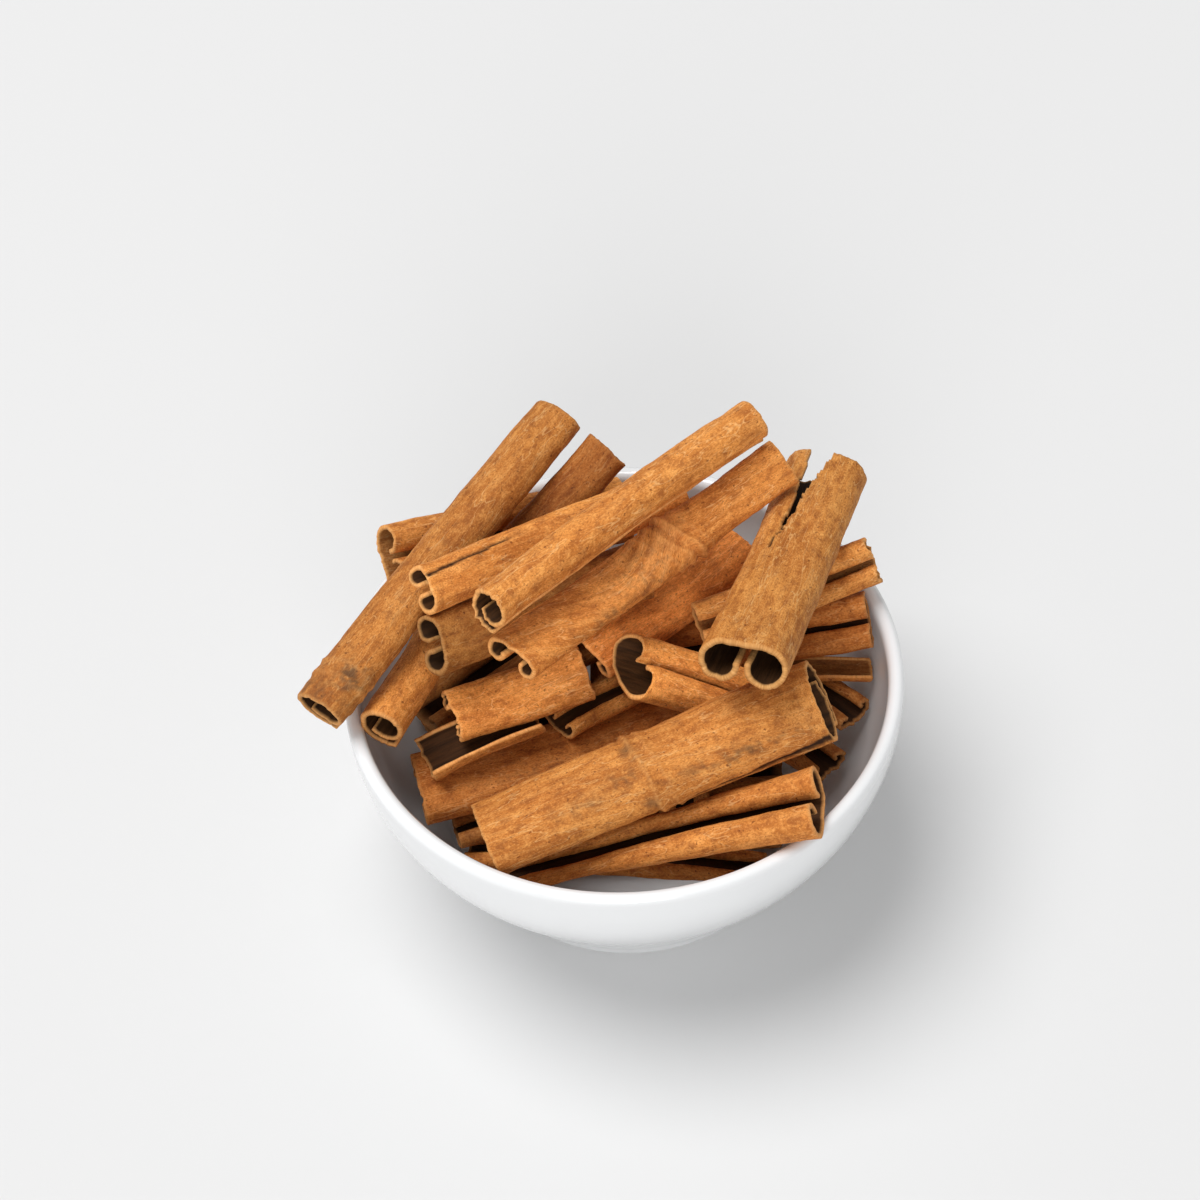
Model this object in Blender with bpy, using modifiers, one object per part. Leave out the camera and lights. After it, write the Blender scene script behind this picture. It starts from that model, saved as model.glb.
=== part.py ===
"""A white porcelain bowl heaped with cinnamon sticks (cassia quills), at real size.

Units are metres, +Z is up and the origin is the middle of the bowl's foot, on the table.
+X is to the right and -Y is the front of the heap.

Each stick is a sheet of bark, bent into a quill: a grid whose columns follow a curled section
and whose rows run along the stick, made solid by Solidify.  The heap is laid stick by stick,
from the bottom up.  The table gives where a stick's middle lies, its heading, its lean and how
it is rolled; then it is moved up or down a little, until it just touches what lies below it.
"""

import math
from collections import namedtuple

import bpy
import bmesh
from mathutils import Matrix, Vector
from mathutils.bvhtree import BVHTree

MM = 0.001

# Bowl
RIM_RADIUS = 57.5 * MM
BOWL_HEIGHT = 50 * MM
FOOT_RADIUS = 36 * MM
FOOT_HEIGHT = 2 * MM
FOOT_EDGE = 0.6 * MM  # bevel between the wall and the foot
WALL = 3.2 * MM
FLOOR = 4.5 * MM
FLOOR_DISH = 0.3 * MM  # how far the floor has risen where it starts to turn up into the wall
FLOOR_FLAT = 0.6  # where that is, as a share of the radius at which the wall starts
FLARE_RISE = 2.2  # how early the wall turns upright: 1 is a cone, 2 a round side
FLARE_SPREAD = 1.55  # how slowly the wall leaves the foot
WALL_STEPS = 7
LIP_STEPS = 3
BOWL_STEPS = 36

# Sticks
GAP = 0.35 * MM  # air left between two things that touch
CURL_STEPS = 10  # straight steps that make the curl on either side of a stick
ROWS = 3  # sections along a stick
BOW = 0.8 * MM  # how far a stick's middle stands off the line between its ends
WINDING = 1.5  # how much a curl tightens in a full turn, in thicknesses of the bark
FITTING = 12  # rounds that bring a section to its stated width
SETTLE_STEP = 0.5 * MM
SETTLE_LIMIT = 4 * MM  # the furthest a stick is lowered to meet the pile
SETTLE_EXACT = 0.02 * MM

CINNAMON = (0.42, 0.19, 0.07, 1.0)
PORCELAIN = (0.86, 0.87, 0.88, 1.0)

# How the bark of a stick is curled, seen along the stick with the groove up: the width of its
# flat back, the arch of that back, and how far the left and the right edge roll in.  Widths are
# shares of a lobe's radius, turns are degrees.
FORMS = {
    # two lobes side by side, whose free edges are rolled in at the groove between them
    "double": dict(back=1.0, arch=0, turns=(290, 300)),
    # two full lobes that nearly touch
    "pair": dict(back=0.7, arch=0, turns=(280, 285)),
    # the same on a wider back, with a gap between the lobes
    "broad": dict(back=1.5, arch=0, turns=(270, 300)),
    # a rounded back and open lobes, like a heart
    "heart": dict(back=1.15, arch=30, turns=(205, 235)),
    # one lobe, whose one edge laps over the other
    "roll": dict(back=0.0, arch=0, turns=(20, 420)),
    # a sheet that never closed
    "trough": dict(back=0.6, arch=10, turns=(100, 80)),
}

Stick = namedtuple("Stick", "name form length width at heading lean spin bark extra")


def stick(name, form, length, width, at, heading, lean, spin=0, bark=1.2, **extra):
    """A row of the table: lengths in millimetres, angles in degrees.

    `at` is where the stick's middle lies, `heading` is where its B end points, from +X towards
    +Y, `lean` lifts that end, and `spin` rolls the groove over, from up towards the stick's
    right, seen from A to B.  `taper` widens the B end and narrows the A end, by this share of
    the width from end to end, `twist` turns the section along the stick, and `flat` presses it.
    """
    at = Vector(at) * MM
    return Stick(name, form, length * MM, width * MM, at, heading, lean, spin, bark * MM, extra)


HEAP = [
    # hidden in the bowl
    stick("base_front", "double", 62, 12, (0, -14, 13), 1, 0, steps=5),
    stick("base_middle", "double", 64, 12, (1, 0, 11), 0, 0, steps=5),
    stick("base_back", "double", 62, 12, (-1, 14, 14), 0, 0, steps=5),
    stick("cross_left", "double", 52, 12, (-17, 7, 21), 84, 0, steps=5),
    stick("cross_middle", "double", 58, 12, (-2, 10, 21), 86, 0, steps=5),
    stick("cross_right", "double", 52, 11, (12, 8, 21), 88, 0, steps=5),
    stick("back_filler", "double", 42, 12, (-24, 18, 31), 30, 0, steps=5),
    stick("back_filler_high", "double", 46, 12, (-24, 18, 38), 38, 0, steps=5),
    # deep in the bowl, seen between the others
    stick("front_low", "double", 62, 8, (-4, -29, 25), -11, 3, steps=5, bark=0.9),
    stick("left_low", "double", 46, 8, (-14, -16, 28), 14, 0, steps=5, bark=0.9),
    stick("right_deep", "double", 56, 10, (23, 8, 29), -48, 4, steps=5),
    stick("right_low", "double", 52, 10, (30, 15, 32), -47, 6, steps=5),
    stick("right_sliver", "trough", 36, 6, (34, 7, 39), -6, 4, steps=5, bark=0.9),
    stick("left_large", "broad", 58, 16.5, (-15, -9, 35), 11, 2, spin=188),
    stick("front_quill", "double", 68, 13, (5, -38, 43), -4, 22, spin=-8, taper=0.7),
    stick("right_back", "pair", 44, 12, (30, 11, 46), -2, 12, spin=40),
    stick("back_deep", "double", 30, 9, (14, 32, 43), 43, 6, steps=5),
    stick("middle_small", "double", 25, 9.2, (-4, 0, 43), 28, 0, bark=0.9),
    stick("back_broad", "broad", 42, 17.5, (9, 19, 51), 37, 4, spin=180),
    stick("left_edge", "roll", 34, 9.6, (-42, 3.5, 50.5), 63, 2),
    # on top
    stick("left_trough", "trough", 25, 11, (-30, -8, 43), 21, 6),
    stick("left_split", "double", 30, 12.5, (-22, -2, 50), 14, 7, spin=200),
    stick("heart", "heart", 44, 14.5, (18, -5, 49), -9, -24),
    stick("back_left", "pair", 54, 14.6, (-23, 38, 51), 18, -8, spin=30),
    stick("left_double", "pair", 50, 12.5, (-17, 9, 58.5), 25, -5, spin=225),
    stick("right_rim", "pair", 40, 10.5, (35, 12.5, 55.5), 18, 5, spin=50),
    stick("front_large", "roll", 75, 17.5, (6, -28, 53), 16, 11, spin=10, twist=25, flat=0.62),
    stick("back_red", "double", 44, 10.4, (-16, 32, 60), 37, 26, spin=200),
    stick("long_left", "roll", 83, 11.7, (-36, 21, 62), 51, 10, flat=0.7),
    stick("left_upper", "pair", 60, 10.4, (-13, 18, 69), 24, -1, spin=215),
    stick("top_right", "pair", 67, 17.5, (34, 8, 64), 70, -11, bark=1.4, spin=180),
    stick("top_twist", "double", 73, 12, (6, 10, 67), 36, 6, spin=200, twist=40, taper=-0.2),
    stick("top_back", "roll", 72, 8.8, (1, 14, 73), 37, 4),
]


def clear_scene():
    for old in list(bpy.data.objects):
        bpy.data.objects.remove(old, do_unlink=True)


def material(name, colour, roughness):
    made = bpy.data.materials.new(name)
    made.use_nodes = True
    shader = made.node_tree.nodes["Principled BSDF"]
    shader.inputs["Base Color"].default_value = colour
    shader.inputs["Roughness"].default_value = roughness
    shader.inputs["Metallic"].default_value = 0.0
    made.diffuse_color = colour
    return made


# ---------------------------------------------------------------- bowl


def wall_point(share):
    """A point (radius, height) of the outer wall, from the foot (0) to the rim (1)."""
    spread = (1 - (1 - share) ** FLARE_RISE) ** FLARE_SPREAD
    radius = FOOT_RADIUS + (RIM_RADIUS - FOOT_RADIUS) * spread
    return Vector((radius, FOOT_HEIGHT + share * (BOWL_HEIGHT - WALL / 2 - FOOT_HEIGHT)))


def inward(share):
    """The unit direction from the outer wall into the wall."""
    step = 0.01
    along = wall_point(min(1, share + step)) - wall_point(max(0, share - step))
    return Vector((-along.y, along.x)).normalized()


def bowl_profile():
    """Points (radius, height): floor, up the inner wall, over the lip, down the outer wall, foot."""
    shares = [i / WALL_STEPS for i in range(WALL_STEPS + 1)]
    inner = [wall_point(s) + inward(s) * WALL for s in shares]
    inner = [p for p in inner if p.y > FLOOR + FOOT_HEIGHT]
    outer = [wall_point(s) for s in reversed(shares)]
    crest = wall_point(1) - Vector((WALL / 2, 0))
    turns = [math.pi * (1 - (i + 1) / (LIP_STEPS + 1)) for i in range(LIP_STEPS)]
    lip = [crest + Vector((math.cos(a), math.sin(a))) * WALL / 2 for a in turns]
    foot = [Vector((FOOT_RADIUS - FOOT_EDGE, 0)), Vector((0, 0))]
    floor = [Vector((0, FLOOR)), Vector((inner[0].x * FLOOR_FLAT, FLOOR + FLOOR_DISH))]
    return floor + inner + lip + outer + foot


def make_bowl(collection, look):
    points = bowl_profile()
    mesh = bpy.data.meshes.new("bowl")
    edges = [(i, i + 1) for i in range(len(points) - 1)]
    mesh.from_pydata([(p.x, 0, p.y) for p in points], edges, [])
    bowl = bpy.data.objects.new("bowl", mesh)
    collection.objects.link(bowl)
    turn = bowl.modifiers.new("turn", "SCREW")
    turn.axis = "Z"
    turn.angle = 2 * math.pi
    turn.steps = turn.render_steps = BOWL_STEPS
    turn.use_merge_vertices = True
    turn.merge_threshold = 0.01 * MM
    turn.use_smooth_shade = True
    mesh.materials.append(look)
    return bowl


# ---------------------------------------------------------------- sticks


def curl(back, arch, turn, radius, pitch, steps):
    """Points of half a section: from the middle of the back, out and round its lobe, and in."""
    place, way, points = Vector((0, 0)), math.radians(arch) / 2, []
    place = place + Vector((math.cos(way), math.sin(way))) * back
    points.append(place)
    way += math.radians(arch) / 2
    step = math.radians(turn) / steps
    for i in range(steps):
        tighter = radius - pitch * step * (i + 0.5) / (2 * math.pi)
        way += step / 2
        place = place + Vector((math.cos(way), math.sin(way))) * 2 * tighter * math.sin(step / 2)
        way += step / 2
        points.append(place)
    return points


def section(form, width, bark, steps, flat):
    """The middle line of the bark across a stick of this overall width, centred."""
    shape = FORMS[form]
    pitch = bark * WINDING / flat
    radius = width / 4
    for _ in range(FITTING):
        back = shape["back"] * (radius + bark / 2)
        left, right = [
            curl(back, shape["arch"], turn, radius, pitch, steps) for turn in shape["turns"]
        ]
        path = [Vector((-p.x, p.y)) for p in reversed(left)] + [Vector((0, 0))] + right
        low = Vector((min(p.x for p in path), min(p.y for p in path)))
        high = Vector((max(p.x for p in path), max(p.y for p in path)))
        radius *= (width - bark) / (high.x - low.x)
    path = [p - (low + high) / 2 for p in path]
    return [Vector((p.x, p.y * flat)) for p in path]


def make_stick(row, collection, look):
    """The sheet of bark, curled about the local X axis, with its A end at -X and its B end at +X."""
    taper = row.extra.get("taper", 0.0)
    twist = math.radians(row.extra.get("twist", 0.0))
    steps = row.extra.get("steps", CURL_STEPS)
    columns = 2 * steps + 3
    sheet = bmesh.new()
    bmesh.ops.create_grid(sheet, x_segments=ROWS - 1, y_segments=columns - 1, size=0.5)
    for v in sheet.verts:
        along = v.co.x
        width = row.width * (1 + taper * along)
        path = section(row.form, width, row.bark, steps, row.extra.get("flat", 1.0))
        across = Matrix.Rotation(twist * along, 2) @ path[round((v.co.y + 0.5) * (columns - 1))]
        arch = 1 - 4 * along * along
        v.co = Vector((along * row.length, across.x, across.y + BOW * arch))
    mesh = bpy.data.meshes.new(row.name)
    sheet.to_mesh(mesh)
    sheet.free()
    made = bpy.data.objects.new(row.name, mesh)
    collection.objects.link(made)
    solid = made.modifiers.new("bark", "SOLIDIFY")
    solid.thickness = row.bark
    solid.offset = 0
    solid.use_even_offset = True
    mesh.shade_smooth()
    made.modifiers.new("shading", "WEIGHTED_NORMAL")
    mesh.materials.append(look)
    return made


def placing(row):
    """How a stick is turned: rolled about its axis, leant, then headed in plan."""
    spin = Matrix.Rotation(math.radians(row.spin), 4, "X")
    lean = Matrix.Rotation(math.radians(-row.lean), 4, "Y")
    heading = Matrix.Rotation(math.radians(row.heading), 4, "Z")
    return Matrix.Translation(row.at) @ heading @ lean @ spin


def triangles(thing, extra=0.0):
    """The object's evaluated surface, in its own space, with its bark thickened by `extra`."""
    if extra:
        thing.modifiers["bark"].thickness += 2 * extra
    bpy.context.view_layer.update()
    evaluated = thing.evaluated_get(bpy.context.evaluated_depsgraph_get())
    mesh = evaluated.to_mesh()
    mesh.calc_loop_triangles()
    points = [v.co.copy() for v in mesh.vertices]
    faces = [tuple(t.vertices) for t in mesh.loop_triangles]
    evaluated.to_mesh_clear()
    if extra:
        thing.modifiers["bark"].thickness -= 2 * extra
    return points, faces


def settled(points, faces, pile):
    """How far to move this surface up, or down, so that it just touches what lies below it."""
    def clear(rise):
        shifted = [p + Vector((0, 0, rise)) for p in points]
        return not BVHTree.FromPolygons(shifted, faces).overlap(pile)

    high = 0.0
    while not clear(high):
        high += SETTLE_STEP
    low = high - SETTLE_STEP
    while clear(low) and low > -SETTLE_LIMIT:
        high, low = low, low - SETTLE_STEP
    while high - low > SETTLE_EXACT:
        middle = (high + low) / 2
        if clear(middle):
            high = middle
        else:
            low = middle
    return high


def build():
    clear_scene()
    collection = bpy.data.collections.new("cinnamon_bowl")
    bpy.context.scene.collection.children.link(collection)
    bark_look = material("cinnamon", CINNAMON, 0.75)
    glaze = material("porcelain", PORCELAIN, 0.18)
    bowl = make_bowl(collection, glaze)
    pile_points, pile_faces = triangles(bowl)
    for row in HEAP:
        made = make_stick(row, collection, bark_look)
        turned = placing(row)
        points, faces = triangles(made, extra=GAP)
        points = [turned @ p for p in points]
        pile = BVHTree.FromPolygons(pile_points, pile_faces)
        rise = settled(points, faces, pile)
        made.matrix_world = Matrix.Translation((0, 0, rise)) @ turned
        points, faces = triangles(made)
        first = len(pile_points)
        pile_points += [made.matrix_world @ p for p in points]
        pile_faces += [tuple(first + i for i in face) for face in faces]


if __name__ == "__main__":
    build()
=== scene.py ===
"""The looks of a white bowl heaped with cinnamon sticks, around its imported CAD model.

Each stick's section is read from the ends of its CAD solid, smoothed, and lofted into a fine
sheet of bark with relief, ragged cut ends, cracks and stains.  Lengths in mm are marked MM.
"""

import math

import bmesh
import bpy
import numpy as np
from mathutils import Matrix, Vector


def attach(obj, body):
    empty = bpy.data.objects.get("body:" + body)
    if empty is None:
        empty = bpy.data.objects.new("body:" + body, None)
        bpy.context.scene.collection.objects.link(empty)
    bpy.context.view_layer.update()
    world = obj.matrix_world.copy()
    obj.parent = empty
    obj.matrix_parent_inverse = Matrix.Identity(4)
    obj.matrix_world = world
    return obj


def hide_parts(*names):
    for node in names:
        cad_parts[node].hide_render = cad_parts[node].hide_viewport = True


MM = 0.001

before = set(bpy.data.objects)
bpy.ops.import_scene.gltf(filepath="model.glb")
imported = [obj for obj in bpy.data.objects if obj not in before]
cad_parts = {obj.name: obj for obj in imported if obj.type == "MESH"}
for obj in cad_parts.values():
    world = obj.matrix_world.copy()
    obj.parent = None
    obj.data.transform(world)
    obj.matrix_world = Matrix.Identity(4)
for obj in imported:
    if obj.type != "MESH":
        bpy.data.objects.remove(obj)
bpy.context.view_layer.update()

# Fine grid of a stick's bark, across and along
FINE = (0.45 * MM, 0.6 * MM)
COARSE = (1.2 * MM, 2.5 * MM)
HIDDEN = ("base_", "cross_", "back_filler")


# ---------------------------------------------------------------- noise


def lattice(u, v, seed):
    """Smooth noise from -1 to 1 over two arrays of coordinates, one cell to a unit."""
    cells = np.random.default_rng(seed).uniform(-1, 1, (64, 64))
    iu, iv = np.floor(u).astype(int), np.floor(v).astype(int)
    fu, fv = u - iu, v - iv
    fu, fv = fu * fu * (3 - 2 * fu), fv * fv * (3 - 2 * fv)
    a, b = cells[iu % 64, iv % 64], cells[(iu + 1) % 64, iv % 64]
    c, d = cells[iu % 64, (iv + 1) % 64], cells[(iu + 1) % 64, (iv + 1) % 64]
    return (a * (1 - fu) + b * fu) * (1 - fv) + (c * (1 - fu) + d * fu) * fv


def rough(u, v, seed, octaves=3):
    """Noise with finer and weaker layers on top."""
    layers = [lattice(u * 2**k, v * 2**k, seed + k) / 2**k for k in range(octaves)]
    return sum(layers) / 1.5


# ---------------------------------------------------------------- reading a stick


def end_faces(mesh, axis, side):
    """The faces of one end of a stick, which has rows of corners at its ends and its middle."""
    along = [v.co.dot(axis) * side for v in mesh.verts]
    last = max(along) - 0.25 * (max(along) - min(along))
    return [f for f in mesh.faces if all(along[v.index] > last for v in f.verts)]


def outline(mesh, axis, side):
    """The corners of one end face of a stick, in order around it."""
    cap = end_faces(mesh, axis, side)
    inside = set(cap)
    rim = [e for f in cap for e in f.edges if sum(g in inside for g in e.link_faces) == 1]
    ways = {}
    for edge in rim:
        a, b = (v.index for v in edge.verts)
        ways.setdefault(a, set()).add(b)
        ways.setdefault(b, set()).add(a)
    loop = [min(ways)]
    while True:
        onward = [v for v in sorted(ways[loop[-1]]) if v not in loop]
        if not onward:
            return [mesh.verts[v].co.copy() for v in loop]
        loop.append(onward[0])


def sides(loop, axis):
    """The outer and the inner line of the bark, from one free edge to the other."""
    centre = sum(loop, Vector()) / len(loop)
    turn = sum((a - centre).cross(b - centre).dot(axis) for a, b in zip(loop, loop[1:] + loop[:1]))
    if turn < 0:
        loop = loop[::-1]
    size, half = len(loop), len(loop) // 2

    def spread(start):
        around = loop[start:] + loop[:start]
        return max((around[k] - around[size - 1 - k]).length for k in range(half))

    start = min(range(size), key=spread)
    around = loop[start:] + loop[:start]
    one, other = around[:half], around[half:][::-1]

    def reach(line):
        return sum((b - a).length for a, b in zip(line, line[1:]))

    if reach(one) < reach(other):
        one, other = other[::-1], one[::-1]
    return one, other


def smooth(points, count):
    """Evenly spaced points on a curve through these points."""
    p = np.array([tuple(q) for q in points])
    p = np.vstack([2 * p[0] - p[1], p, 2 * p[-1] - p[-2]])
    t = np.linspace(0, 1, 12, endpoint=False)[:, None]
    parts = []
    for a, b, c, d in zip(p, p[1:], p[2:], p[3:]):
        parts.append(0.5 * (2 * b + (c - a) * t + (2 * a - 5 * b + 4 * c - d) * t**2 + (3 * b - a - 3 * c + d) * t**3))
    line = np.vstack(parts + [p[-2:-1]])
    run = np.concatenate([[0], np.cumsum(np.linalg.norm(np.diff(line, axis=0), axis=1))])
    want = np.linspace(0, run[-1], count)
    return np.stack([np.interp(want, run, line[:, k]) for k in range(3)], axis=1), run[-1]


def read_stick(node, grid):
    """Middle lines of the bark at both ends, how much it bows, and its sizes."""
    mesh = bmesh.new()
    mesh.from_mesh(node.data)
    bmesh.ops.remove_doubles(mesh, verts=mesh.verts, dist=1e-6)
    mesh.normal_update()
    mesh.verts.ensure_lookup_table()
    mesh.verts.index_update()
    co = np.array([v.co for v in mesh.verts])
    values, vectors = np.linalg.eigh(np.cov((co - co.mean(0)).T))
    axis = Vector(vectors[:, 2])
    axis = axis if axis.x > 0 else -axis
    caps = end_faces(mesh, axis, 1)
    axis = sum((f.normal * f.calc_area() for f in caps), Vector()).normalized()
    ends = [sides(outline(mesh, axis, side), axis) for side in (-1, 1)]
    thick = min((a - b).length for a, b in zip(*ends[0]))
    wide = sum((b - a).length for a, b in zip(ends[1][0], ends[1][0][1:]))
    across = max(12, int(wide / grid[0]))
    lines = [[smooth(side, across) for side in end] for end in ends]
    first, last = ((outer[0] + inner[0]) / 2 for outer, inner in lines)
    wide_a, wide_b = ((outer[1] + inner[1]) / 2 for outer, inner in lines)
    along = (co - co.mean(0)) @ np.array(axis)
    centre = (along.max() + along.min()) / 2
    ring = co[np.abs(along - centre) < 0.2 * MM]
    low, high = co[along < along.min() + 0.2 * MM], co[along > along.max() - 0.2 * MM]
    bow = ring.mean(0) - (low.mean(0) + high.mean(0)) / 2 if len(ring) else np.zeros(3)
    outward = lines[0][0][0] - lines[0][1][0]
    mesh.free()
    return dict(first=first, last=last, bow=bow, axis=np.array(axis), thick=thick,
                wide=(wide_a + wide_b) / 2, length=along.max() - along.min(),
                outward=outward)


# ---------------------------------------------------------------- a stick's looks

# tone: how light, partly the stick's own brown and partly painted shade or painted light for how it lies in the light;
# red: how red; wrinkle: how bumpy; inside: how dark the lining is, partly the inner bark's own colour and partly
# painted shade of the curl's hollow
# ends: how ragged the A and B end are (mm); slant: how far their upper side is cut back (mm)
# cracks: end, share across at the end and at the tip, length, width at the end (mm), through
# stains: share along and across, spread along and across, strength
# knots: share along, width and height of the ring (mm), lean, share of it that is stained
# lean: how much the fibres run across, up to a share along
PLAIN = dict(tone_and_painted_light=1.0, red=0.0, wrinkle=1.0, inside=1.0, ends=(0.35, 0.35), slant=(0, 0),
             cracks=(), stains=(), knots=(), lean=(0, 0))
LOOKS = {
    "long_left": dict(tone_and_painted_light=0.80, knots=((0.075, 1.4, 0.5, 0.05, 0.5), (0.115, 1.1, 0.4, 0.05, 0.4)),
                      stains=((0.10, 0.62, 0.05, 0.08, 0.9), (0.33, 0.6, 0.03, 0.05, 0.5),
                              (0.02, 0.5, 0.05, 0.3, 0.4))),
    "back_left": dict(tone_and_painted_light=0.98, slant=(2.5, 0), inside=0.6),
    # back_red: its darker tone is painted shade, for the shadow of long_left lying over it
    "back_red": dict(tone_and_painted_light=0.60, red=0.6),
    "left_edge": dict(tone_and_painted_light=0.98, red=0.1),
    "left_upper": dict(tone_and_painted_light=1.1, slant=(2.5, 0), cracks=((0, 0.40, 0.35, 26, 0.10, False),)),
    # left_double: its low tone is partly painted shade, for the shadow of left_upper over its right part
    "left_double": dict(tone_and_painted_light=0.56, wrinkle=1.9, slant=(3, 0)),
    # left_split: its high tone is partly painted light, brightening it where other sticks shade it from the lamps
    "left_split": dict(tone_and_painted_light=1.2, ends=(1.0, 0.9), red=0.2, slant=(1.5, 0)),
    "left_trough": dict(tone_and_painted_light=1.05, ends=(0.8, 0.6), red=0.2),
    "left_large": dict(tone_and_painted_light=0.88, red=0.5, stains=((0.5, 0.6, 0.3, 0.05, 0.35),),
                       knots=((0.93, 1.5, 0.6, 0.1, 0.1),)),
    "front_large": dict(tone_and_painted_light=0.90, ends=(0.5, 0.4), slant=(0, 4.5),
                        knots=((0.45, 1.1, 1.1, 0.12, 0.75), (0.49, 0.7, 0.7, 0.15, 0.2)),
                        cracks=((1, 0.675, 0.735, 42, 0.7, False),),
                        stains=((0.72, 0.62, 0.2, 0.028, 0.6), (0.39, 0.56, 0.035, 0.03, 0.9),
                                (0.27, 0.6, 0.08, 0.03, 0.4))),
    "front_quill": dict(tone_and_painted_light=0.95, red=0.2),
    # front_low and left_low: their darker tones are painted shade, for lying low in the heap
    "front_low": dict(tone_and_painted_light=0.75, red=0.3),
    "left_low": dict(tone_and_painted_light=0.5, red=0.4),
    "top_back": dict(tone_and_painted_light=1.03, ends=(1.0, 0.3), slant=(3, 0)),
    "top_twist": dict(tone_and_painted_light=1.08, red=0.15, slant=(3, 0), lean=(0.8, 0.60),
                      knots=((0.62, 1.3, 1.5, 0.35, 0.35), (0.575, 0.8, 0.8, 0.4, 0.2),
                             (0.53, 0.8, 0.6, 0.45, 0.1), (0.66, 0.7, 0.4, 0.3, 0.0)),
                      stains=((0.3, 0.72, 0.1, 0.05, 0.5), (0.46, 0.6, 0.12, 0.3, 0.35))),
    "top_right": dict(tone_and_painted_light=0.86, red=-0.15, ends=(0.5, 0.9), slant=(2, 0),
                      cracks=((1, 0.47, 0.42, 33, 2.4, True),),
                      stains=((0.12, 0.55, 0.05, 0.05, 0.2),)),
    "right_rim": dict(tone_and_painted_light=1.02, ends=(0.4, 1.2), slant=(0, 1.5), inside=0.6),
    "right_back": dict(tone_and_painted_light=0.78, red=0.6),
    "right_sliver": dict(tone_and_painted_light=0.9, red=0.2, ends=(0.8, 0.9), inside=0.6),
    # right_low and right_deep: their darker tones are painted shade, for lying low in the heap
    "right_low": dict(tone_and_painted_light=0.6, red=0.4, ends=(0.6, 1.2)),
    "right_deep": dict(tone_and_painted_light=0.6, red=0.4, ends=(0.6, 1.2)),
    # heart: its high tone is partly painted light, brightening it where other sticks shade it from the lamps
    "heart": dict(tone_and_painted_light=1.3, slant=(8, 0)),
    "middle_small": dict(tone_and_painted_light=1.05, ends=(0.7, 0.5), slant=(2.5, 0)),
    "back_broad": dict(tone_and_painted_light=1.25, red=0.6),
    # back_deep: its darker tone is painted shade, for lying low in the heap
    "back_deep": dict(tone_and_painted_light=0.7, red=0.4),
}


def look_of(name):
    if name.startswith(HIDDEN):
        # sticks hidden deep in the heap get a dark tone as painted shade
        return dict(PLAIN, tone_and_painted_light=0.55, red=0.4)
    return dict(PLAIN, **LOOKS.get(name, {}))


# The side of a stick that shows, towards the front and the top
UPPER_SIDE = np.array([0, -0.6, 0.8])


def bell(value, spread):
    return np.exp(-((value / spread) ** 2))


def torn_ends(base, um, sm, read, look, seed):
    """The sheet with its ends broken off and slanted towards the top."""
    length = read["length"] / MM
    height = base @ UPPER_SIDE
    up = height - height.mean(1, keepdims=True)
    up = up / max(1e-9, np.abs(up).max())
    shift = np.zeros_like(um)
    for end, way in ((0, 1), (1, -1)):
        near = np.clip(1 - (sm if end == 0 else length - sm) / 12, 0, 1) ** 1.5
        torn = np.abs(rough(um / 3.2, um * 0 + 3.3, seed + 11 + end)) * 1.3
        fine = rough(um / 0.8, um * 0, seed + 31 + end) * 0.3
        shift += way * near * (look["ends"][end] * (torn + fine) + look["slant"][end] * (up + 1) / 2)
    return base + read["axis"] * (shift * MM)[..., None]


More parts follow.
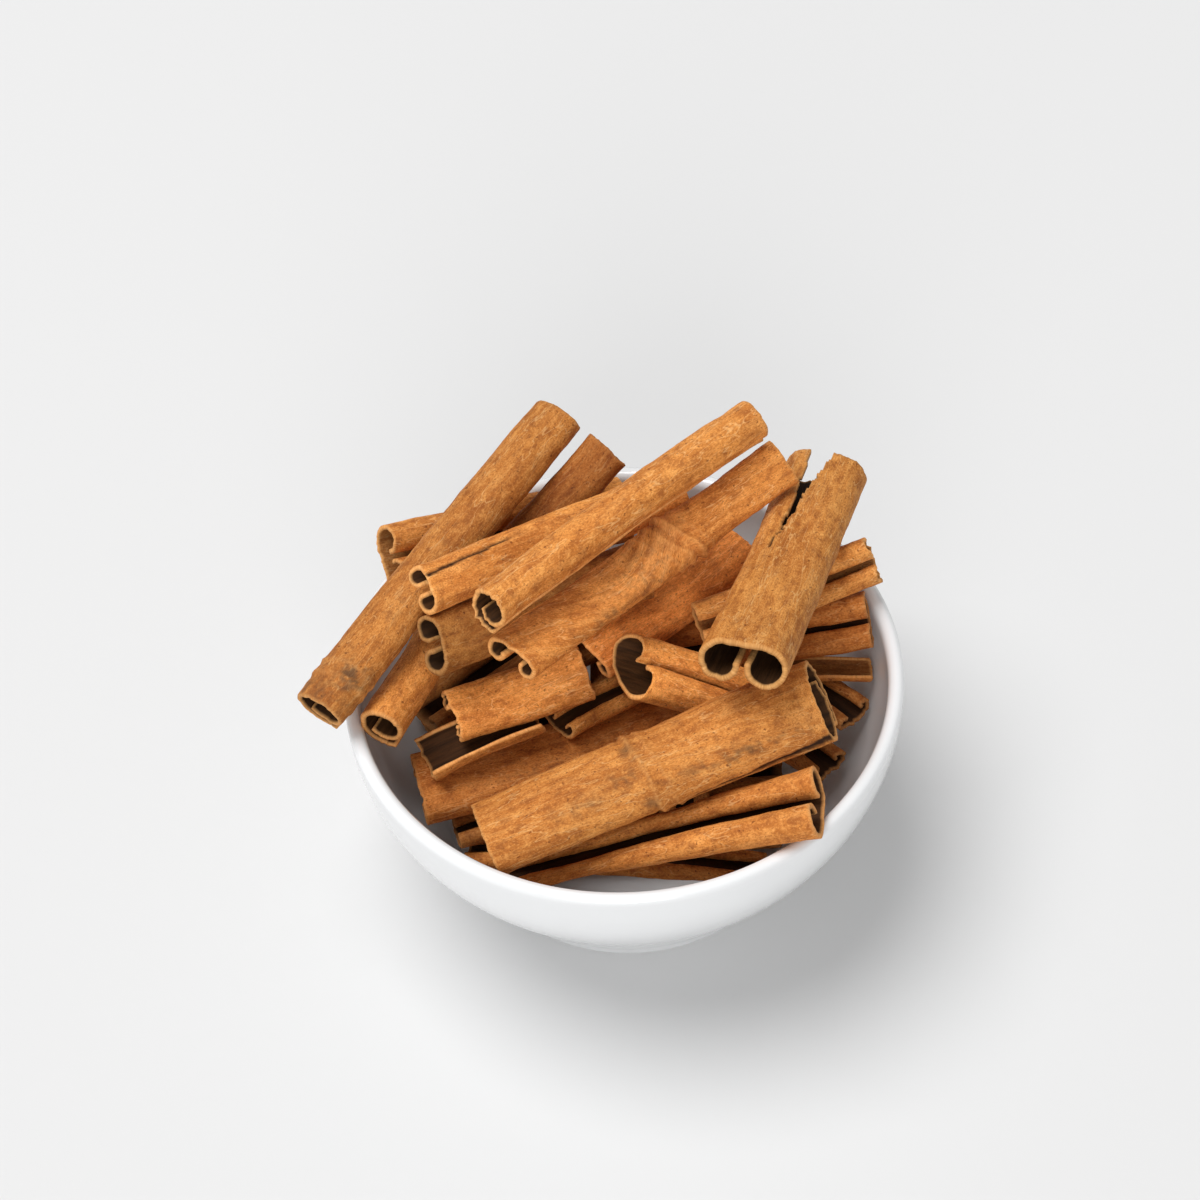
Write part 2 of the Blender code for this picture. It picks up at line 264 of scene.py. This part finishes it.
def stick_points(read, seed, grid, look):
    """Outer and inner points of the bark as (along, across, 3), with their marks."""
    across = len(read["first"])
    rows = max(8, int(read["length"] / grid[1]))
    u = np.linspace(0, 1, across)[None, :]
    s = np.linspace(0, 1, rows)[:, None]
    wide, length = read["wide"] / MM, read["length"] / MM
    um, sm = u * wide + 0 * s, s * length + 0 * u
    base = read["first"][None] * (1 - s[..., None]) + read["last"][None] * s[..., None]
    base = base + read["bow"] * (4 * s * (1 - s))[..., None]
    base = torn_ends(base, um, sm, read, look, seed)
    du, ds = np.gradient(base, axis=1), np.gradient(base, axis=0)
    normal = np.cross(du, ds)
    normal /= np.maximum(1e-12, np.linalg.norm(normal, axis=2, keepdims=True))
    if (normal[0] * read["outward"]).sum() < 0:
        normal = -normal
    # slow unevenness of the whole sheet, then relief of the outer side
    sway = rough(um / 11, sm / 19, seed) * 0.42 + rough(um / 5, sm / 7, seed + 1) * 0.16
    stain = np.zeros_like(um)
    relief, pale = np.zeros_like(um), np.zeros_like(um)
    for place, width, height, lean, spoilt in look["knots"]:
        off = sm - place * length - lean * (um - wide / 2) - rough(um / 4, sm * 0, seed + 14) * 0.6
        sway = sway + bell(off, 3 * width) * height * 0.35
        relief += (bell(off, 0.5 * width) - 0.7 * bell(off + width, 0.5 * width)) * height * 0.5
        pale = np.maximum(pale, bell(off, 0.35 * width) * (0.45 + 0.5 * rough(um / 3, sm, seed + 16)))
        blot = bell(off + width, 1.4 * width) * (0.4 + rough(um / 2, sm / 2, seed + 15))
        stain = np.maximum(stain, blot * spoilt)
    base = base + normal * (sway * MM)[..., None]
    bend, knee = look["lean"]
    twisted = bell(np.minimum(0, s - knee), 0.3) * bell(np.maximum(0, s - knee), 0.03)
    along_fibre = um + bend * twisted * (sm - knee * length)
    if bend:
        fibre = rough(along_fibre / 0.9, sm / 25, seed + 17)
        pale = np.maximum(pale, np.clip(fibre * 1.6 - 0.25, 0, 0.7) * twisted)
        relief += fibre * twisted * 0.12
    ridge = rough(along_fibre / 1.1, sm / 11, seed + 2) * 0.07
    pimple = rough(um / 1.3, sm / 1.6, seed + 3) * 0.05
    ripple = rough(um / 6, sm / 1.8, seed + 4) * 0.04
    grain = rough(along_fibre / 0.7, sm / 1.3, seed + 10) * 0.035
    relief = relief + (ridge + pimple + ripple + grain) * look["wrinkle"]
    dark = np.zeros_like(um)
    hole = np.zeros_like(um, bool)
    for end, share, tip, run, gape, through in look["cracks"]:
        from_end = sm if end == 0 else length - sm
        part = np.clip(from_end / run, 0, 1)
        path = (share + (tip - share) * part) * wide
        path = path + rough(sm / 2.2, sm * 0 + 7, seed + 5) * (0.45 if through else 0.25)
        jag = 0.25 if through else 0.08
        half = gape * (1 - part) ** 2 + rough(sm / 0.9, sm * 0 + 3, seed + 6) * jag * (part < 1)
        apart = np.abs(um - path)
        if through:
            hole |= (apart < half - 0.1) & (from_end < run * 0.8)
        inside = np.clip(1.2 - apart / (half + 0.3), 0, 1) * np.clip(3 - 3 * part, 0, 1)
        inside = inside * (from_end < run)
        if through:
            inside = np.where(apart < half + 0.25, 0.8, 0) * (from_end < run) * (part > 0.6)
        relief = relief - inside * 0.45
        dark = np.maximum(dark, np.clip(inside * 1.5, 0, 1))
    thick = read["thick"] * 0.86 * (1 + 0.22 * rough(um / 7, sm / 11, seed + 6))
    outer = base + normal * (thick / 2 + relief * MM)[..., None]
    inner = base - normal * (thick / 2 + rough(um / 1.2, sm / 5, seed + 7) * 0.05 * MM)[..., None]
    for place, share, along, wide_part, strength in look["stains"]:
        blot = bell(s - place, along) * bell(u - share, wide_part) * strength
        speckle = rough(um / 2.5, sm / 3, seed + 8) + 1.6 * rough(um / 0.8, sm / 0.8, seed + 9)
        stain = np.maximum(stain, blot * np.clip(0.6 + 1.1 * speckle, 0, 1.6))
    return dict(outer=outer, inner=inner, um=um, sm=sm, dark=dark, hole=hole,
                stain=np.clip(stain, 0, 1), pale=np.clip(pale, 0, 1), fibre=along_fibre)


def stick_mesh(name, points, seed):
    """A closed sheet of bark from its outer and inner points."""
    um, sm = points["um"], points["sm"]
    rows, across = um.shape
    index = np.arange(rows * across).reshape(rows, across)
    top, low = points["outer"].reshape(-1, 3), points["inner"].reshape(-1, 3)
    a, b = index[:-1, :-1].ravel(), index[:-1, 1:].ravel()
    c, d = index[1:, 1:].ravel(), index[1:, :-1].ravel()
    face = np.stack([a, b, c, d], axis=1)
    first = np.cross(top[b[0]] - top[a[0]], top[d[0]] - top[a[0]])
    if (first * (top[a[0]] - low[a[0]])).sum() < 0:
        face = face[:, ::-1]
    face = face[~points["hole"].ravel()[face].any(axis=1)]
    # the rim: edges that only one face has, each closed by two faces over a raised middle line
    edges = np.vstack([face[:, [k, (k + 1) % 4]] for k in range(4)])
    key = np.sort(edges, axis=1) @ np.array([rows * across, 1])
    _, where, count = np.unique(key, return_index=True, return_counts=True)
    rim = edges[where[count == 1]]
    corners = np.unique(rim)
    place = np.full(rows * across, -1)
    place[corners] = np.arange(len(corners))
    i, j = corners // across, corners % across
    inland = index[np.clip(i, 1, rows - 2), np.clip(j, 1, across - 2)]
    out = top[corners] - top[inland]
    out /= np.maximum(1e-12, np.linalg.norm(out, axis=1, keepdims=True))
    chip = rough(um.ravel()[corners] / 0.6, sm.ravel()[corners] / 0.6, seed + 9) * 0.10
    middle = (top[corners] + low[corners]) / 2 + out * ((0.16 + chip) * MM)[:, None]
    total = rows * across
    p, q = rim[:, 0], rim[:, 1]
    mp, mq = place[p] + 2 * total, place[q] + 2 * total
    upper = np.stack([q, p, mp, mq], axis=1)
    lower = np.stack([mq, mp, p + total, q + total], axis=1)
    quads = np.vstack([face, face[:, ::-1] + total, upper, lower])
    co = np.vstack([top, low, middle])
    used = np.unique(quads)
    again = np.zeros(len(co), int)
    again[used] = np.arange(len(used))
    mesh = bpy.data.meshes.new(name)
    mesh.vertices.add(len(used))
    mesh.vertices.foreach_set("co", co[used].astype(np.float32).ravel())
    mesh.loops.add(quads.size)
    mesh.loops.foreach_set("vertex_index", again[quads].astype(np.int32).ravel())
    mesh.polygons.add(len(quads))
    mesh.polygons.foreach_set("loop_start", np.arange(0, quads.size, 4, dtype=np.int32))
    mesh.update(calc_edges=True)
    mesh.polygons.foreach_set("use_smooth", np.ones(len(quads), bool))
    # marks: red is the cut rim, green the inner side, blue cracks, alpha a stain
    marks = np.zeros((len(co), 4), np.float32)
    marks[2 * total:, 0] = 1
    marks[:total, 0] = points["pale"].ravel() * 0.6
    marks[corners, 0] = 0.55
    marks[corners + total, 0] = 0.8
    marks[total:2 * total, 1] = 1
    marks[:total, 2] = points["dark"].ravel()
    marks[:total, 3] = points["stain"].ravel()
    layer = mesh.color_attributes.new("marks", "FLOAT_COLOR", "POINT")
    layer.data.foreach_set("color", marks[used].ravel())
    flat = np.stack([points["fibre"].ravel(), sm.ravel()], axis=1) / 10
    flat = np.vstack([flat, flat, flat[corners]]) + seed * 0.37
    uv = mesh.uv_layers.new(name="bark")
    uv.data.foreach_set("uv", flat[quads.ravel()].astype(np.float32).ravel())
    mesh.validate()
    return mesh


# ---------------------------------------------------------------- materials


class Nodes:
    """Short ways to add and join shader nodes."""

    def __init__(self, name):
        self.material = bpy.data.materials.new(name)
        self.material.use_nodes = True
        self.tree = self.material.node_tree
        self.shader = self.tree.nodes["Principled BSDF"]

    def add(self, kind, **inputs):
        node = self.tree.nodes.new(kind)
        for key, value in inputs.items():
            self.set(node, key.replace("_", " "), value)
        return node

    def set(self, node, key, value):
        socket = node.inputs[int(key[1:])] if key[0] == "i" and key[1:].isdigit() else node.inputs[key]
        if isinstance(value, bpy.types.NodeSocket):
            self.tree.links.new(value, socket)
        else:
            socket.default_value = value

    def math(self, operation, a, b=0.0, clamp=False):
        node = self.add("ShaderNodeMath", i0=a, i1=b)
        node.operation = operation
        node.use_clamp = clamp
        return node.outputs[0]

    def mix(self, factor, a, b, blend="MIX"):
        node = self.tree.nodes.new("ShaderNodeMix")
        node.data_type = "RGBA"
        node.blend_type = blend
        for key, value in ((0, factor), (6, a), (7, b)):
            socket = node.inputs[key]
            if isinstance(value, bpy.types.NodeSocket):
                self.tree.links.new(value, socket)
            else:
                socket.default_value = value
        return node.outputs[2]

    def span(self, value, low, high):
        """0 at low, 1 at high."""
        node = self.add("ShaderNodeMapRange", Value=value)
        node.inputs["From Min"].default_value = low
        node.inputs["From Max"].default_value = high
        return node.outputs[0]

    def noise(self, place, scale, stretch, detail=4.0, roughness=0.6):
        mapping = self.add("ShaderNodeMapping", Vector=place)
        mapping.inputs["Scale"].default_value = (stretch[0], stretch[1], 1)
        node = self.add("ShaderNodeTexNoise", Vector=mapping.outputs[0], Scale=scale, Detail=detail)
        node.inputs["Roughness"].default_value = roughness
        return node.outputs["Fac"]


def bark_material(name, tone_and_painted_light, red, inside):
    n = Nodes(name)
    place = n.add("ShaderNodeUVMap").outputs[0]
    n.tree.nodes["UV Map"].uv_map = "bark"
    marks = n.add("ShaderNodeAttribute")
    marks.attribute_name = "marks"
    split = n.add("ShaderNodeSeparateColor", Color=marks.outputs["Color"])
    cut, inner, crack = split.outputs[0], split.outputs[1], split.outputs[2]
    stain = marks.outputs["Alpha"]

    def shade(colour):
        r, g, b = colour
        bright = 1.1 * tone_and_painted_light
        return (r * bright, g * bright * (1 - 0.22 * red), b * bright * (1 - 0.3 * red), 1)

    blotch = n.noise(place, 1.3, (1, 0.5), 3)
    rust = n.noise(place, 0.7, (1, 0.4), 2)
    mottle = n.noise(place, 6.0, (1, 0.55), 3)
    streak = n.noise(place, 8.0, (1, 0.10), 4)
    grain = n.noise(place, 36.0, (1, 0.45), 4, 0.7)
    speck = n.noise(place, 13.0, (1, 0.8), 2)
    line = n.noise(place, 2.2, (1, 0.16), 3)
    colour = n.mix(n.span(blotch, 0.33, 0.67), shade((0.44, 0.145, 0.026)), shade((0.72, 0.285, 0.060)))
    colour = n.mix(n.math("MULTIPLY", n.span(rust, 0.45, 0.70), 0.5), colour, shade((0.50, 0.145, 0.022)))
    colour = n.mix(n.math("MULTIPLY", n.span(mottle, 0.51, 0.66), 0.85), colour, shade((0.32, 0.098, 0.020)))
    colour = n.mix(n.math("MULTIPLY", n.span(mottle, 0.46, 0.32), 0.65), colour, shade((0.84, 0.38, 0.10)))
    colour = n.mix(n.math("MULTIPLY", n.span(streak, 0.47, 0.72), 0.6), colour, shade((0.78, 0.36, 0.10)))
    colour = n.mix(n.math("MULTIPLY", n.span(streak, 0.48, 0.27), 0.65), colour, shade((0.33, 0.098, 0.020)))
    colour = n.mix(n.math("MULTIPLY", n.span(grain, 0.48, 0.65), 0.7), colour, shade((0.30, 0.095, 0.022)))
    colour = n.mix(n.math("MULTIPLY", n.span(grain, 0.46, 0.29), 0.55), colour, shade((0.86, 0.42, 0.13)))
    colour = n.mix(n.math("MULTIPLY", n.span(speck, 0.63, 0.70), 0.75), colour, shade((0.15, 0.040, 0.010)))
    vein = n.math("ABSOLUTE", n.math("SUBTRACT", line, 0.5))
    colour = n.mix(n.math("MULTIPLY", n.span(vein, 0.007, 0.0), 0.5), colour, shade((0.86, 0.50, 0.20)))
    colour = n.mix(n.math("MULTIPLY", stain, 0.8), colour, (0.085, 0.048, 0.026, 1))
    # inner side: the darker brown of the inner bark, darkened further as painted shade of the curl's hollow
    lining_and_painted_shade = n.mix(n.span(streak, 0.3, 0.7), shade((0.022, 0.009, 0.003)), shade((0.080, 0.032, 0.010)))
    colour = n.mix(n.math("MULTIPLY", inner, inside), colour, lining_and_painted_shade)
    colour = n.mix(crack, colour, (0.035, 0.013, 0.005, 1))
    edge = n.mix(n.span(grain, 0.3, 0.7), shade((0.84, 0.44, 0.16)), shade((0.60, 0.26, 0.07)))
    colour = n.mix(n.math("MULTIPLY", cut, 0.85), colour, edge)
    n.set(n.shader, "Base Color", colour)
    n.set(n.shader, "Roughness", n.math("ADD", n.math("MULTIPLY", grain, 0.3), 0.55))
    n.shader.inputs["Specular IOR Level"].default_value = 0.14
    height = n.math("ADD", n.math("MULTIPLY", streak, 0.9), n.math("MULTIPLY", grain, 0.5))
    height = n.math("ADD", height, n.math("MULTIPLY", n.span(vein, 0.02, 0.0), 0.08))
    bump = n.add("ShaderNodeBump", Height=height, Strength=0.75)
    bump.inputs["Distance"].default_value = 0.28 * MM
    n.set(n.shader, "Normal", bump.outputs[0])
    return n.material


def glaze_material():
    n = Nodes("glaze")
    place = n.add("ShaderNodeTexCoord").outputs["Object"]
    cloud = n.add("ShaderNodeTexNoise", Vector=place, Scale=30.0, Detail=2.0).outputs["Fac"]
    colour = n.mix(cloud, (0.80, 0.81, 0.82, 1), (0.86, 0.87, 0.875, 1))
    n.set(n.shader, "Base Color", colour)
    n.shader.inputs["Roughness"].default_value = 0.16
    n.shader.inputs["Coat Weight"].default_value = 0.4
    n.shader.inputs["Coat Roughness"].default_value = 0.05
    fine = n.add("ShaderNodeTexNoise", Vector=place, Scale=90.0, Detail=1.0).outputs["Fac"]
    bump = n.add("ShaderNodeBump", Height=fine, Strength=0.12)
    bump.inputs["Distance"].default_value = 0.2 * MM
    n.set(n.shader, "Normal", bump.outputs[0])
    return n.material


# ---------------------------------------------------------------- pieces

for number, (name, node) in enumerate(sorted(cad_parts.items())):
    if name == "bowl":
        continue
    seed = 100 * number + 7
    grid = COARSE if name.startswith(HIDDEN) else FINE
    look = look_of(name)
    read = read_stick(node, grid)
    piece = bpy.data.objects.new(name + "_bark", stick_mesh(name, stick_points(read, seed, grid, look), seed))
    bpy.context.scene.collection.objects.link(piece)
    piece.data.materials.append(bark_material(name + "_bark", look["tone_and_painted_light"], look["red"], look["inside"]))
    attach(piece, "root")
    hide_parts(name)

BOWL_TURNS = 160


def bowl_profile():
    """Points (radius, height) of the CAD bowl from its middle, over the lip, to its foot."""
    mesh = bmesh.new()
    mesh.from_mesh(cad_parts["bowl"].data)
    bmesh.ops.remove_doubles(mesh, verts=mesh.verts, dist=1e-6)
    slope = {}
    for v in mesh.verts:
        if abs(v.co.y) < 1e-6 and v.co.x > -1e-6:
            slope[(round(v.co.x, 6), round(v.co.z, 6))] = v
    start = min((k for k in slope if k[0] < 1e-6 and k[1] > MM), key=lambda k: k[1])
    line, here = [start], slope[start]
    seen = {start}
    while True:
        ahead = [e.other_vert(here) for e in here.link_edges]
        ahead = [v for v in ahead if (round(v.co.x, 6), round(v.co.z, 6)) in slope]
        ahead = [v for v in ahead if (round(v.co.x, 6), round(v.co.z, 6)) not in seen and abs(v.co.y) < 1e-6]
        if not ahead:
            break
        here = min(ahead, key=lambda v: (v.co - here.co).length)
        key = (round(here.co.x, 6), round(here.co.z, 6))
        seen.add(key)
        line.append(key)
    mesh.free()
    return line


def make_bowl():
    line = bowl_profile()
    points, _ = smooth([(r, 0, z) for r, z in line[:-1]], 110)
    points = [(max(0.0, x), z) for x, _, z in points] + [line[-1]]
    mesh = bpy.data.meshes.new("bowl_glazed")
    mesh.from_pydata([(x, 0, z) for x, z in points], [(i, i + 1) for i in range(len(points) - 1)], [])
    bowl = bpy.data.objects.new("bowl_glazed", mesh)
    bpy.context.scene.collection.objects.link(bowl)
    turn = bowl.modifiers.new("turn", "SCREW")
    turn.angle = 2 * math.pi
    turn.steps = turn.render_steps = BOWL_TURNS
    turn.use_merge_vertices = True
    turn.merge_threshold = 0.01 * MM
    turn.use_smooth_shade = True
    mesh.materials.append(glaze_material())
    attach(bowl, "root")
    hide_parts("bowl")


make_bowl()


# ---------------------------------------------------------------- floor, light, camera


def floor():
    mesh = bpy.data.meshes.new("floor")
    mesh.from_pydata([(-3, -3, 0), (3, -3, 0), (3, 3, 0), (-3, 3, 0)], [], [(0, 1, 2, 3)])
    made = bpy.data.objects.new("floor", mesh)
    bpy.context.scene.collection.objects.link(made)
    n = Nodes("floor")
    n.shader.inputs["Base Color"].default_value = (0.69, 0.69, 0.69, 1)
    n.shader.inputs["Roughness"].default_value = 0.9
    mesh.materials.append(n.material)


def light(name, place, target, size, power, colour=(1, 1, 1)):
    lamp = bpy.data.lights.new(name, "AREA")
    lamp.shape = "DISK"
    lamp.size = size
    lamp.energy = power
    lamp.color = colour
    made = bpy.data.objects.new(name, lamp)
    made.location = place
    made.rotation_euler = (Vector(target) - Vector(place)).to_track_quat("-Z", "Y").to_euler()
    bpy.context.scene.collection.objects.link(made)


floor()
light("key", (-1.4, 0.6, 4.2), (0, 0, 0.04), 3.4, 166)
light("fill", (-0.4, -4.0, 2.0), (0, 0, 0.04), 3.0, 84)

world = bpy.data.worlds.new("studio")
world.use_nodes = True
world.node_tree.nodes["Background"].inputs["Color"].default_value = (1, 1, 1, 1)
world.node_tree.nodes["Background"].inputs["Strength"].default_value = 0.38
bpy.context.scene.world = world
bpy.context.scene.view_settings.view_transform = "Standard"

ELEVATION = math.radians(49.7)
ROLL = math.radians(3.47)
DISTANCE = 700 * MM
AIM = Vector((-3.83, 19.64, 50.0)) * MM

camera_data = bpy.data.cameras.new("camera")
camera_data.lens = 100.53
camera_data.sensor_width = 36
camera = bpy.data.objects.new("camera", camera_data)
back = Vector((0, -math.cos(ELEVATION), math.sin(ELEVATION)))
flat_right, flat_up = Vector((1, 0, 0)), Vector((0, math.sin(ELEVATION), math.cos(ELEVATION)))
right = flat_right * math.cos(ROLL) - flat_up * math.sin(ROLL)
up = flat_right * math.sin(ROLL) + flat_up * math.cos(ROLL)
turned = Matrix((right, up, back)).transposed().to_4x4()
camera.matrix_world = Matrix.Translation(AIM + back * DISTANCE) @ turned
bpy.context.scene.collection.objects.link(camera)
bpy.context.scene.camera = camera
